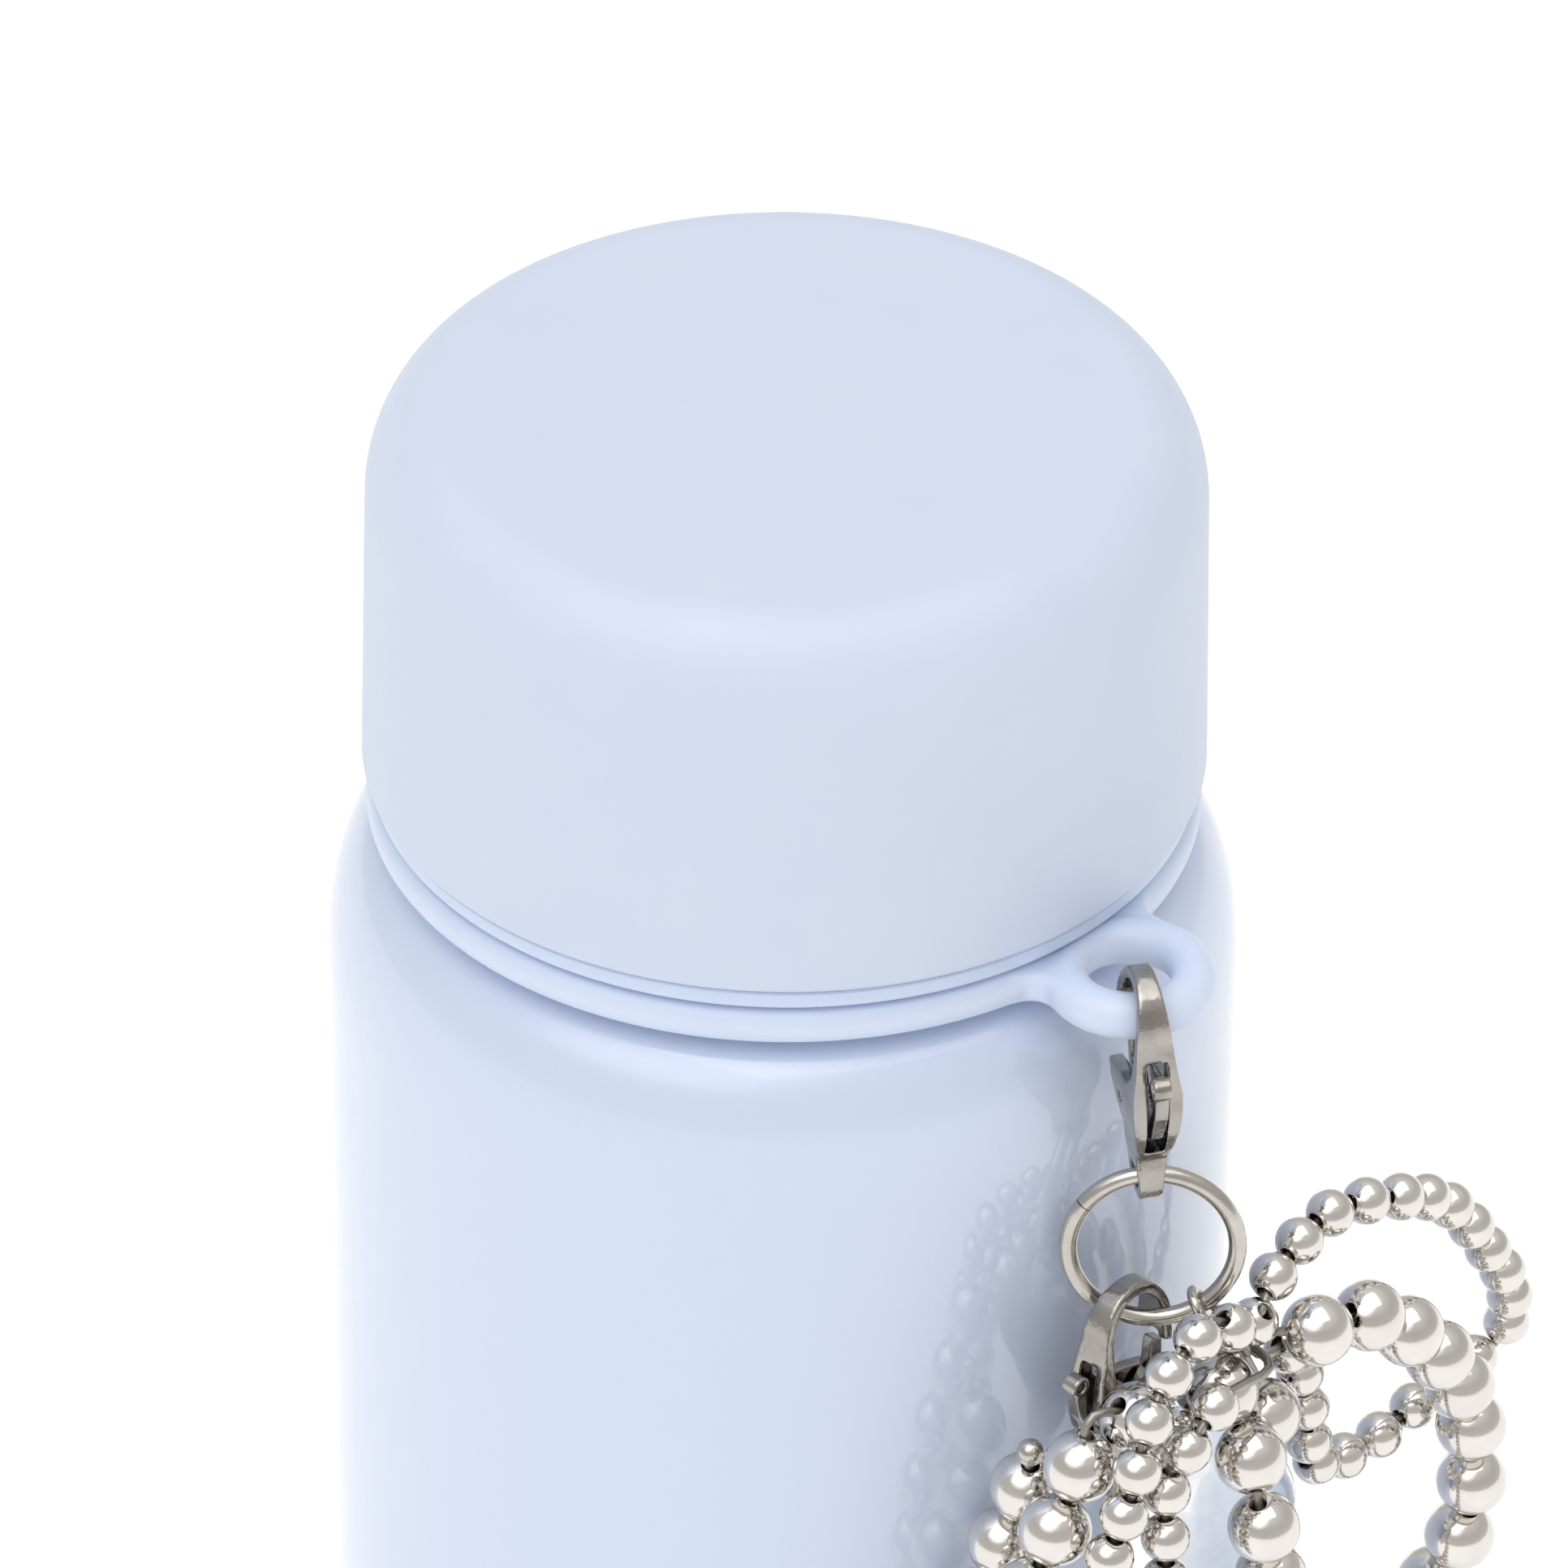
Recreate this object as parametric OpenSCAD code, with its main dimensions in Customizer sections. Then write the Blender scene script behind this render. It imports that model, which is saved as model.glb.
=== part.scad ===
// Vacuum bottle with a screw cap, a strap collar and a beaded charm on lobster clasps.
// Z is up, the floor is z = 0 and the bottle's axis is the Z axis. Millimetres.

/* [Body] */
// Outside diameter of the bottle's straight wall
body_d = 76.2; // [74:0.2:80]
// Height of the cap's lower edge above the floor
seat_z = 146; // [120:1:200]
// Wall of the outer steel shell
shell_wall = 0.6; // [0.4:0.1:0.8]
// Wall of the inner steel flask
flask_wall = 0.5; // [0.4:0.1:0.8]
// Vacuum gap between the two walls
vacuum_gap = 2.7; // [2:0.1:4]

/* [Neck and thread] */
// Outside diameter of the neck under its thread
neck_d = 55; // [54:0.1:55.2]
// Rise of the two-start thread for one turn
thread_lead = 8; // [6:1:8]
// How far a thread ridge stands out
thread_depth = 1; // [0.8:0.1:1]
// Height of the mouth above the cap's lower edge
mouth_rise = 18.5; // [17:0.5:18.5]

/* [Cap] */
// Diameter of the cap at its lower edge
cap_d = 70; // [69:0.5:72]
// Height of the cap
cap_h = 33.5; // [33:0.5:40]
// Radius drawn in by the cap's draft
cap_draft = 0.55; // [0.2:0.05:0.8]

/* [Collar] */
// Height of the strap collar
collar_h = 3.43; // [3:0.01:3.5]
// Radius of the loop's centre line
lug_r = 5.25; // [5:0.05:5.5]
// Thickness of the loop
lug_bar_d = 3.9; // [3.5:0.1:3.9]
// Direction of the loop around the bottle, in degrees
lug_turn = -43; // [-180:1:180]

/* [Charm] */
// Diameter of a small bead
small_bead_d = 4.1; // [3.9:0.05:4.1]
// Diameter of a large bead
large_bead_d = 6.1; // [5.8:0.05:6.1]
// Diameter of the thread through the beads
thread_d = 0.8; // [0.5:0.1:0.9]
// Wire of the large jump ring
ring_wire = 1.5; // [1.2:0.1:1.5]

/* [Hidden] */
$fn = 96;

blue = [0.83, 0.88, 0.96];
steel = [0.75, 0.74, 0.72];
bright = [0.86, 0.85, 0.83];

body_r = body_d / 2;
neck_r = neck_d / 2;
shoulder_top = seat_z - 6.14;
shoulder_b = 15.05;
shoulder_e = 2.69;
shoulder_a = body_r - 27.75;
rim_z = seat_z + mouth_rise;
rim_t = 0.8;
foot_h = 2.2;
flask_r = body_r - shell_wall - vacuum_gap;
bore_r = neck_r + thread_depth + 0.45;
collar_top = seat_z - 2.3;
collar_r = 34.75;

// Power that keeps the sign, for superellipses
function spow(v, p) = sign(v) * pow(abs(v), p);

// Points of a superellipse quarter, from angle a0 to a1
function curve(cx, cy, rx, ry, a0, a1, e = 2, n = 16) =
    [for (i = [0:n]) let (a = a0 + (a1 - a0) * i / n)
        [cx + rx * spow(cos(a), 2 / e), cy + ry * spow(sin(a), 2 / e)]];

// ---------- bottle ----------

// One helical ridge of trapezoid section; the side of the given sign faces away from the wall
function ridge_ring(r, depth, a, z, half) =
    [[r * cos(a), r * sin(a), z - half], [(r + depth) * cos(a), (r + depth) * sin(a), z - half / 2],
     [(r + depth) * cos(a), (r + depth) * sin(a), z + half / 2], [r * cos(a), r * sin(a), z + half]];

module ridge(r, depth, z0, turns, start) {
    steps = ceil(turns * 30);
    rings = [for (i = [0:steps]) let (t = i / steps, taper = min(1, 12 * min(t, 1 - t)))
        ridge_ring(r, depth * max(taper, 0.05), start + 360 * turns * t,
            z0 + thread_lead * turns * t, 0.9)];
    points = [for (ring = rings) each (depth > 0 ? ring : [ring[3], ring[2], ring[1], ring[0]])];
    sides = [for (i = [0:steps - 1], j = [0:3]) let (k = (j + 1) % 4)
        [4 * i + j, 4 * i + k, 4 * i + 4 + k, 4 * i + 4 + j]];
    caps = [[3, 2, 1, 0], [for (j = [0:3]) 4 * steps + j]];
    polyhedron(points, [for (f = concat(sides, caps)) each [[f[0], f[1], f[2]], [f[0], f[2], f[3]]]]);
}

module outer_shell() color(blue) {
    outside = curve(body_r - shoulder_a, shoulder_top - shoulder_b, shoulder_a, shoulder_b, 0, 90,
        shoulder_e, 24);
    inside = curve(body_r - shoulder_a - shell_wall, shoulder_top - shoulder_b - shell_wall,
        shoulder_a, shoulder_b, 0, 90, shoulder_e, 24);
    rotate_extrude() polygon(concat([[body_r, foot_h]], outside,
        [[neck_r, shoulder_top], [neck_r, rim_z - rim_t], [neck_r - shell_wall, rim_z - rim_t]],
        [for (i = [len(inside) - 1:-1:0]) inside[i]], [[body_r - shell_wall, foot_h]]));
    for (start = [0, 180]) ridge(neck_r - 0.15, thread_depth + 0.15, seat_z + 4, 1.1, start);
}

module inner_flask() color(steel) {
    neck = neck_r - shell_wall - 0.6;
    a = flask_r - neck - 0.3;
    top = shoulder_top - 2.6;
    outside = curve(flask_r - a, top - shoulder_b, a, shoulder_b, 0, 90, shoulder_e, 20);
    inside = curve(flask_r - a - flask_wall, top - shoulder_b - flask_wall, a, shoulder_b, 0, 90,
        shoulder_e, 20);
    low = 10;
    rotate_extrude() polygon(concat([[0, low]], curve(flask_r - 8, low + 8, 8, 8, -90, 0), outside,
        [[neck, top], [neck, rim_z - rim_t], [neck_r, rim_z - rim_t], [neck_r, rim_z - 0.3],
         [neck_r - 0.3, rim_z], [neck - flask_wall, rim_z]],
        [for (i = [len(inside) - 1:-1:0]) inside[i]],
        curve(flask_r - 8, low + 8, 8 - flask_wall, 8 - flask_wall, 0, -90),
        [[0, low + flask_wall]]));
}

module base_plate() color(steel) difference() {
    r = body_r - shell_wall;
    rotate_extrude() polygon([[0, 4.2], [4, 4.2], [6, 3], [r, 3], [r, 3.6], [6.2, 3.6],
        [4.2, 4.8], [0, 4.8]]);
    translate([0, 0, 3]) cylinder(r = 1.2, h = 3, $fn = 48);
}

module vacuum_seal() color([0.3, 0.32, 0.3]) translate([0, 0, 4.1]) {
    translate([0, 0, 0.7]) cylinder(r = 2, h = 0.6, $fn = 48);
    cylinder(r = 1.2, h = 0.7, $fn = 48);
}

module getter() color([0.45, 0.45, 0.47]) translate([15, 0, 8.9])
    cylinder(r = 5, h = 1.1, $fn = 64);

module base_cover() color(blue) {
    r = body_r - shell_wall;
    rotate_extrude() polygon([[0, 0], [r - 1.2, 0], [r, 0.8], [body_r, 1.4], [body_r, foot_h],
        [r, foot_h], [r, 3], [r - 1.2, 3], [r - 1.2, 1.8], [0, 1.8]]);
}

// ---------- cap ----------

module cap_shell() color(blue) {
    r = cap_d / 2;
    top_r = r - cap_draft;
    fit_r = 32.1;
    rotate_extrude() polygon(concat([[fit_r, seat_z]],
        curve(r - 0.7, seat_z + 0.7, 0.7, 0.7, -90, 0, 2, 6),
        curve(top_r - 6.25, seat_z + cap_h - 8.1, 6.25, 8.1, 0, 90, 2, 20),
        [[0, seat_z + cap_h], [0, seat_z + cap_h - 2.4]],
        curve(fit_r - 5, seat_z + cap_h - 8.9, 5, 6.5, 90, 0, 2, 14)));
}

module cap_liner() color(blue) {
    deck = seat_z + mouth_rise + 2;
    mid_gap = seat_z + 4 + thread_lead * 60 / 360 - thread_lead / 4;
    root = 0.45;
    rotate_extrude() polygon(concat([[bore_r, seat_z - 2.06], [33.8, seat_z - 2.06]],
        curve(33.6, seat_z - 1.36, 0.7, 0.7, -60, 0, 2, 4),
        [[34.3, seat_z], [32.1, seat_z], [32.1, deck + 2], [0, deck + 2], [0, deck],
         [22.8, deck], [22.8, seat_z + 10], [24.2, seat_z + 9.5], [25, seat_z + 10.3],
         [25, deck], [bore_r, deck]]));
    for (start = [60, 240]) ridge(bore_r + root, -thread_depth - root, mid_gap, 0.7, start);
}

module cap_foam() color([0.95, 0.95, 0.93]) translate([0, 0, seat_z + mouth_rise + 4])
    cylinder(r = 27, h = 6);

module cap_gasket() color([0.93, 0.94, 0.95]) rotate_extrude()
    translate([25.05, rim_z]) square([bore_r - 25.1, 1.95]);

// ---------- collar ----------

lug_out = 38.56;
lug_c = [lug_out * cos(lug_turn), lug_out * sin(lug_turn)];
lug_z = seat_z - 4.2;

// Edge of the concave web between the collar's rim and the loop, on the side of the given sign
function web(side) = let (f = 2.5, r1 = collar_r - 0.4, r2 = lug_r + lug_bar_d / 2 - 0.4,
    p = r1 + f, q = r2 + f, a = acos((p * p + lug_out * lug_out - q * q) / (2 * p * lug_out)),
    c = [p * cos(a), side * p * sin(a)],
    from = atan2(-c[1], -c[0]), to = atan2(-c[1], lug_out - c[0]),
    span = (to - from + 540) % 360 - 180)
    concat([[(r1 - 3) * cos(a), side * (r1 - 3) * sin(a)]],
        [for (i = [0:8]) let (t = from + span * i / 8) c + f * [cos(t), sin(t)]]);

module lug_web() difference() {
    upper = web(1);
    rotate(lug_turn) translate([0, 0, collar_top - 3.1]) linear_extrude(2.8)
        polygon(concat(web(-1), [for (i = [len(upper) - 1:-1:0]) upper[i]]));
    translate([lug_c[0], lug_c[1], lug_z - 5]) cylinder(r = lug_r, h = 10);
}

module strap_collar() color([0.84, 0.9, 0.98]) {
    r = collar_h / 2;
    rotate_extrude() polygon(concat([[27.55, collar_top - collar_h + 0.3],
        [27.55, shoulder_top + 0.04], [30, shoulder_top + 0.04], [31, collar_top - collar_h]],
        curve(collar_r - r, collar_top - r, r, r, -90, 90, 2, 14), [[27.55, collar_top]]));
    translate([lug_c[0], lug_c[1], lug_z]) rotate_extrude()
        translate([lug_r, 0]) circle(d = lug_bar_d, $fn = 48);
    lug_web();
}

// ---------- lobster clasps ----------
// Their own frame: X through the thickness, Y from the spine to the gate, Z up,
// with the middle of what they hook on at the origin.

eye_z = -15.7;
clasp_outline = concat(curve(0, 0, 4, 4.6, 0, 180, 2, 18),
    [[-4.6, -2.5], [-4.9, -4.5], [-4.85, -7], [-4.4, -9], [-3.5, -11], [-2.4, -12.6], [-2.1, -14.2]],
    curve(0, eye_z, 2.2, 2.2, 180, 360, 2, 14),
    [[2.1, -14.2], [2.6, -12.6], [3.7, -10.6], [4.35, -8.4], [4.2, -6.4], [2.6, -5.9], [0, -5.2],
     [-2, -4.8], [-2.95, -3.7]],
    curve(0, 0, 2.95, 3.5, 180, 0, 2, 18), [[2.95, -2.3], [3.95, -2.7]]);
clasp_front = [[0.85, 4.7], [1.05, 3.8], [1.4, 1.1], [1.75, -2.6], [2.1, -4.7], [2.1, -6.5],
    [1.95, -8.3], [1.65, -10.4], [1.35, -12], [1.3, -13.4], [1.1, -15], [0.9, -18.4]];
clasp_pivot = [1.2, -8.5];
clasp_slot = [1.6, 14, 9.8];
slot_z = -11.5;

module clasp_body() color(steel) difference() {
    intersection() {
        rotate([90, 0, 90]) translate([0, 0, -3]) linear_extrude(6) polygon(clasp_outline);
        rotate([90, 0, 0]) translate([0, 0, -8]) linear_extrude(16) polygon(concat(clasp_front,
            [for (i = [len(clasp_front) - 1:-1:0]) [-clasp_front[i][0], clasp_front[i][1]]]));
    }
    translate([-clasp_slot[0] / 2, -clasp_slot[1] / 2, slot_z]) cube(clasp_slot);
    translate([-4, 0, eye_z]) rotate([0, 90, 0]) cylinder(r = 1.25, h = 8, $fn = 48);
    translate([-4, clasp_pivot[0], clasp_pivot[1]]) rotate([0, 90, 0])
        cylinder(r = 0.45, h = 8, $fn = 32);
}

module capsule(a, b, ra, rb) hull() {
    translate(a) circle(ra, $fn = 32);
    translate(b) circle(rb, $fn = 32);
}

module lever_plate(t = 1.1) rotate([90, 0, 90]) translate([0, 0, -t / 2]) linear_extrude(t)
    children();

// The gate, its boss on the pin, and the arm that curls out of the slot into a rolled thumb piece
module clasp_lever() color(bright) difference() {
    thumb = [-6, -2.9];
    union() {
        lever_plate() polygon([[2.75, -2.6], [3.3, -2.78], [3.9, -2.98], [4, -5], [3.5, -7.6],
            [1.9, -9], [0.6, -8.2], [1.1, -7], [2.3, -5.6]]);
        lever_plate() translate(clasp_pivot) circle(1.3);
        lever_plate() capsule([0.6, -8.7], [-3.6, -8.9], 0.8, 0.65);
        lever_plate() capsule([-3.6, -8.9], [-5.5, -5.8], 0.65, 0.6);
        lever_plate() capsule([-5.5, -5.8], thumb, 0.6, 0.75);
        lever_plate(1.5) translate(thumb) circle(0.95);
    }
    translate([-4, clasp_pivot[0], clasp_pivot[1]]) rotate([0, 90, 0])
        cylinder(r = 0.48, h = 8, $fn = 32);
    translate([-4, thumb[0], thumb[1]]) rotate([0, 90, 0]) cylinder(r = 0.45, h = 8, $fn = 32);
}

module clasp_pin() color(bright) translate([-2, clasp_pivot[0], clasp_pivot[1]])
    rotate([0, 90, 0]) cylinder(r = 0.45, h = 4, $fn = 32);

// Flat spring in the slot under the lever's boss
module clasp_spring() color(bright) translate([-0.5, -0.8, slot_z + 0.1]) {
    cube([1, 3.4, 0.25]);
    translate([0, 3.15, 0.25]) cube([1, 0.25, 0.9]);
}

// The first clasp hooks over the front of the collar's loop
hook_turn = 12;
lean = -2.2;
bar_point = [lug_c[0] + lug_r * sin(hook_turn), lug_c[1] - lug_r * cos(hook_turn), lug_z];

module on_clasp_a() translate([bar_point[0], bar_point[1], bar_point[2] - 0.2])
    rotate([0, lean, 0]) rotate(hook_turn) children();

module clasp_a_body() on_clasp_a() clasp_body();
module clasp_a_lever() on_clasp_a() clasp_lever();
module clasp_a_pin() on_clasp_a() clasp_pin();
module clasp_a_spring() on_clasp_a() clasp_spring();

// The jump ring hangs in the first clasp's eye
ring_r = 6.95;
ring_tilt = 5;
eye_drop = 15.9;
ring_shift = 0.7;
ring_top = [bar_point[0] - eye_drop * sin(lean) + ring_shift, bar_point[1],
    bar_point[2] - 0.2 - eye_drop * cos(lean)];
ring_c = ring_top - ring_r * [0, sin(ring_tilt), cos(ring_tilt)];

module jump_ring() color(steel) translate(ring_c) rotate([90 - ring_tilt, 0, 0])
    rotate_extrude() translate([ring_r, 0]) circle(d = ring_wire, $fn = 32);

// A point on the jump ring's centre line, by its angle from the bottom
function on_ring(a) = ring_c + ring_r * [sin(a), -cos(a) * sin(ring_tilt), -cos(a) * cos(ring_tilt)];

// The second clasp's hook hangs a little under the ring's wire, turned away from the bottle
clasp_b_at = on_ring(-22) + [0.6, -0.2, -1.3];
clasp_b_yaw = -44;

module on_clasp_b() translate(clasp_b_at) rotate(clasp_b_yaw) children();

module clasp_b_body() on_clasp_b() clasp_body();
module clasp_b_lever() on_clasp_b() clasp_lever();
module clasp_b_pin() on_clasp_b() clasp_pin();
module clasp_b_spring() on_clasp_b() clasp_spring();

// ---------- beaded strands ----------

gather = [37.5, -29.5, 108];
gather_top = on_ring(35);
gather_wire = 0.9;
crimp_r = 2;
tail = [20.8, -39, 102.6];
tail_r = 1.2;

loop_route = [gather, [39.5, -32, 111.5], [41, -28.5, 113.5], [45.5, -22.5, 115], [51.5, -17.5, 113],
    [56, -12.5, 108.5], [59.5, -9.5, 102], [62, -6.5, 95], [61.5, -4.5, 88], [57.5, -9, 88],
    [52.5, -14.5, 87], [49, -17.5, 86], [45, -22, 88.5], [44.5, -23.5, 93], [43.5, -24.5, 100],
    [42, -26.5, 104], [40, -29.5, 105.5], gather];
drape_route = [gather, [44.5, -30.5, 109], [49, -26.5, 107.5], [55, -21, 99.5], [58.5, -16.5, 89],
    [58.5, -16, 77], [54.5, -15.5, 67], [49, -24, 62.5], [44, -34, 67], [41.5, -37.5, 78],
    [41, -37.5, 90], [40, -38.5, 96], [39, -35.5, 101], [40.5, -29.5, 100.5], gather];
side_route = [gather, [36.5, -34, 105], [32.5, -37, 102], [28.9, -39.8, 107.2], [25.5, -42, 108.5],
    [24.5, -43, 103], [20.5, -45.5, 92], [18, -46.5, 80], [16.5, -46.5, 74.5], [14, -43.5, 70],
    [12.5, -40.5, 74.5], [14, -40.5, 80.5], [18.5, -37.5, 91], [20.4, -37.2, 96.5], tail];
front_route = [gather, [38.6, -33.4, 108.8], [37.4, -35.2, 112.6], [35.8, -36.6, 114.5],
    [33.8, -38.8, 113.8], [31.8, -41.4, 112.4], [30, -44.5, 109], [29, -46.5, 104.5],
    [27.2, -47.3, 98], [26, -47.5, 90], [26, -48, 82], [28.5, -48, 75.5], [31.5, -46.5, 79],
    [32, -45.5, 88], [32, -45, 96], [32, -43.5, 103], [34.3, -42.3, 107.1], [36.5, -39.5, 109],
    [40.5, -33.5, 107.5], gather];

// Point of a smooth curve through the route, u counting from 0 in route points
function at(route, u) = let (n = len(route) - 1, i = min(floor(u), n - 1), t = u - i,
    p1 = route[i], p2 = route[i + 1],
    p0 = i > 0 ? route[i - 1] : 2 * p1 - p2, p3 = i < n - 1 ? route[i + 2] : 2 * p2 - p1)
    0.5 * (2 * p1 + (p2 - p0) * t + (2 * p0 - 5 * p1 + 4 * p2 - p3) * t * t
        + (3 * p1 - p0 - 3 * p2 + p3) * t * t * t);

// The curve in short steps, with the length run up to each
fine = 12;
function steps(route) = [for (i = [0:(len(route) - 1) * fine]) at(route, i / fine)];
function runs(points) = [for (i = 0, s = 0; i < len(points);
    s = s + (i + 1 < len(points) ? norm(points[i + 1] - points[i]) : 0), i = i + 1) s];

// Point at length s along the stepped curve
function place(points, run, s) = let (
    i = max([for (k = [0:len(run) - 2]) if (k == 0 || run[k] <= s) k]),
    t = (s - run[i]) / (run[i + 1] - run[i]))
    points[i] + (points[i + 1] - points[i]) * t;

// Round tube of a thread: 8 sides and a ring at even lengths
module thread_tube(route, ring_count, from, to) {
    points = steps(route);
    run = runs(points);
    total = run[len(run) - 1];
    length = total - from - to;
    at_ring = [for (i = [0:ring_count]) place(points, run, from + length * i / ring_count)];
    function heading(i) = let (v = at_ring[min(i + 1, ring_count)] - at_ring[max(i - 1, 0)])
        v / norm(v);
    sides = 8;
    verts = [for (i = [0:ring_count]) let (d = heading(i), u = cross(d, [0.3, 0.5, 0.81]),
        a = u / norm(u), b = cross(d, a))
        for (j = [0:sides - 1]) at_ring[i]
            + thread_d / 2 * (a * cos(360 * j / sides) + b * sin(360 * j / sides))];
    walls = [for (i = [0:ring_count - 1], j = [0:sides - 1]) let (k = (j + 1) % sides,
        p = i * sides + j, q = i * sides + k, r = p + sides, s = q + sides)
        each [[p, r, q], [q, r, s]]];
    ends = [for (j = [1:sides - 2]) each [[0, j, j + 1],
        [ring_count * sides, ring_count * sides + j + 1, ring_count * sides + j]]];
    polyhedron(verts, concat(walls, ends));
}

// The length along the curve at which a bead a straight pitch away from the last one sits
function next_run(points, run, s, pitch) = let (p = place(points, run, s),
    k = [for (i = [1:len(run) - 1]) if (run[i] > s && norm(points[i] - p) >= pitch) i][0])
    k == undef ? undef : let (
        s0 = max(run[k - 1], s), d0 = norm(place(points, run, s0) - p), d1 = norm(points[k] - p))
        s0 + (run[k] - s0) * (pitch - d0) / (d1 - d0);

// Round beads side by side along a route, each with a bore for the thread
module beads(route, d, from, to) {
    points = steps(route);
    run = runs(points);
    total = run[len(run) - 1];
    stops = [for (s = from; s != undef && s <= total - to; s = next_run(points, run, s, d + 0.05)) s];
    for (s = stops) {
        v = place(points, run, s + 0.5) - place(points, run, s - 0.5);
        translate(place(points, run, s)) rotate([0, acos(v[2] / norm(v)), atan2(v[1], v[0])])
            difference() {
                sphere(d = d, $fn = 48);
                translate([0, 0, -d]) cylinder(d = thread_d + 0.7, h = 2 * d, $fn = 32);
            }
    }
}

// Bare thread between the crimp and the middle of the first and the last bead
loop_bare = crimp_r + small_bead_d / 2 + 0.1;
side_bare = crimp_r + large_bead_d / 2 + 0.1;
drape_bare = 7.2;
front_start = 9.2;
front_end = 12;
tail_bare = tail_r + large_bead_d / 2 + 0.1;

module loop_thread() color(steel) thread_tube(loop_route, 20, crimp_r - 0.05, crimp_r - 0.05);
module drape_thread() color(steel) thread_tube(drape_route, 20, crimp_r - 0.05, crimp_r - 0.05);
module side_thread() color(steel) thread_tube(side_route, 19, crimp_r - 0.05, tail_r - 0.05);
module front_thread() color(steel) thread_tube(front_route, 70, crimp_r - 0.05, crimp_r - 0.05);

module loop_beads() color(bright) beads(loop_route, small_bead_d, loop_bare, loop_bare);
module drape_beads() color(bright) beads(drape_route, large_bead_d, drape_bare, side_bare);
module side_beads() color(bright) beads(side_route, large_bead_d, side_bare, tail_bare);
module front_beads() color(bright) beads(front_route, small_bead_d, front_start, front_end);

// The gather link is a long wire loop from the jump ring to the crimp that holds the threads
link_w = 1.35;
gather_axis = gather - gather_top;
gather_len = norm(gather_axis);
gather_dir = gather_axis / gather_len;
wire_run = [cos(35), 0, sin(35)];
link_n = let (n = wire_run - gather_dir * (wire_run * gather_dir)) n / norm(n);
link_m = cross(link_n, gather_dir);

// Own frame of the link: X across it, Y from the jump ring to the crimp, Z through it
module place_link() multmatrix([
    [link_m[0], gather_dir[0], -link_n[0], gather_top[0]],
    [link_m[1], gather_dir[1], -link_n[1], gather_top[1]],
    [link_m[2], gather_dir[2], -link_n[2], gather_top[2]], [0, 0, 0, 1]]) children();

module link_wire() {
    first = 0.1;
    last = gather_len - link_w;
    for (side = [-1, 1]) translate([side * link_w, first, 0]) rotate([-90, 0, 0])
        cylinder(d = gather_wire, h = last - first, $fn = 32);
    translate([0, first, 0]) rotate(180) rotate_extrude(angle = 180)
        translate([link_w, 0]) circle(d = gather_wire, $fn = 32);
    translate([0, last, 0]) rotate_extrude(angle = 180)
        translate([link_w, 0]) circle(d = gather_wire, $fn = 32);
}

module gather_link() color(steel) place_link() link_wire();

module gather_crimp() color(steel) difference() {
    translate(gather) sphere(r = crimp_r, $fn = 48);
    place_link() link_wire();
}

module tail_crimp() color(steel) translate(tail) sphere(r = tail_r, $fn = 48);

// ---------- pendant ----------

drop_c = [35.5, -27.5, 87];
drop_top = 12.4;
drop_turn = 15;

module drop_shape() translate(drop_c) rotate(drop_turn) hull() {
    scale([8.4, 3.4, 9.5]) sphere(1, $fn = 32);
    translate([0, 0, 12]) scale([2.6, 1.8, 2.6]) sphere(1, $fn = 20);
}

module pendant_drop() color([0.85, 0.9, 0.95, 0.4]) difference() {
    drop_shape();
    translate([drop_c[0], drop_c[1], drop_c[2] + drop_top]) cylinder(r = 5, h = 10);
}

module pendant_cap() color(steel) translate([drop_c[0], drop_c[1], drop_c[2] + drop_top])
    cylinder(r1 = 2.4, r2 = 1, h = 2, $fn = 48);

module pendant_pin() color(steel) {
    a = [drop_c[0], drop_c[1], drop_c[2] + 14.4];
    v = gather - a;
    reach = norm(v) - crimp_r;
    translate(a) rotate([0, acos(v[2] / norm(v)), atan2(v[1], v[0])])
        cylinder(r = 0.4, h = reach, $fn = 32);
}

outer_shell();
inner_flask();
base_plate();
vacuum_seal();
getter();
base_cover();
cap_shell();
cap_liner();
cap_foam();
cap_gasket();
strap_collar();
clasp_a_body();
clasp_a_lever();
clasp_a_pin();
clasp_a_spring();
jump_ring();
clasp_b_body();
clasp_b_lever();
clasp_b_pin();
clasp_b_spring();
gather_link();
gather_crimp();
tail_crimp();
loop_thread();
drape_thread();
side_thread();
front_thread();
loop_beads();
drape_beads();
side_beads();
front_beads();
pendant_drop();
pendant_cap();
pendant_pin();
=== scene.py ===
import math

import bmesh
import bpy
from mathutils import Matrix, Vector


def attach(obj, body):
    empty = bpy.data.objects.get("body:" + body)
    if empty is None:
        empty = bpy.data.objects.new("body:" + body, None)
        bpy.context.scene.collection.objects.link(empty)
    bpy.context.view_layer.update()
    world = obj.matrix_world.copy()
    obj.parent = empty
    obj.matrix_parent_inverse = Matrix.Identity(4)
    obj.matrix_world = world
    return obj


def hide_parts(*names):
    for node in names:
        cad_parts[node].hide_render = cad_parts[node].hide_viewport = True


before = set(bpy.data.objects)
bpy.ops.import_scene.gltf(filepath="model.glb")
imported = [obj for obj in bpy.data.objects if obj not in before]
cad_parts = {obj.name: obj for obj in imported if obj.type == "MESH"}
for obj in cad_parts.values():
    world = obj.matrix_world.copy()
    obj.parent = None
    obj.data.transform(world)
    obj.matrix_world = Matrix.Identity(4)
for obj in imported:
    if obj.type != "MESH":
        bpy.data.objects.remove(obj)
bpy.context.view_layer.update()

MM = 0.001

# ---------- sizes shared with the CAD model, in millimetres ----------

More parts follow.
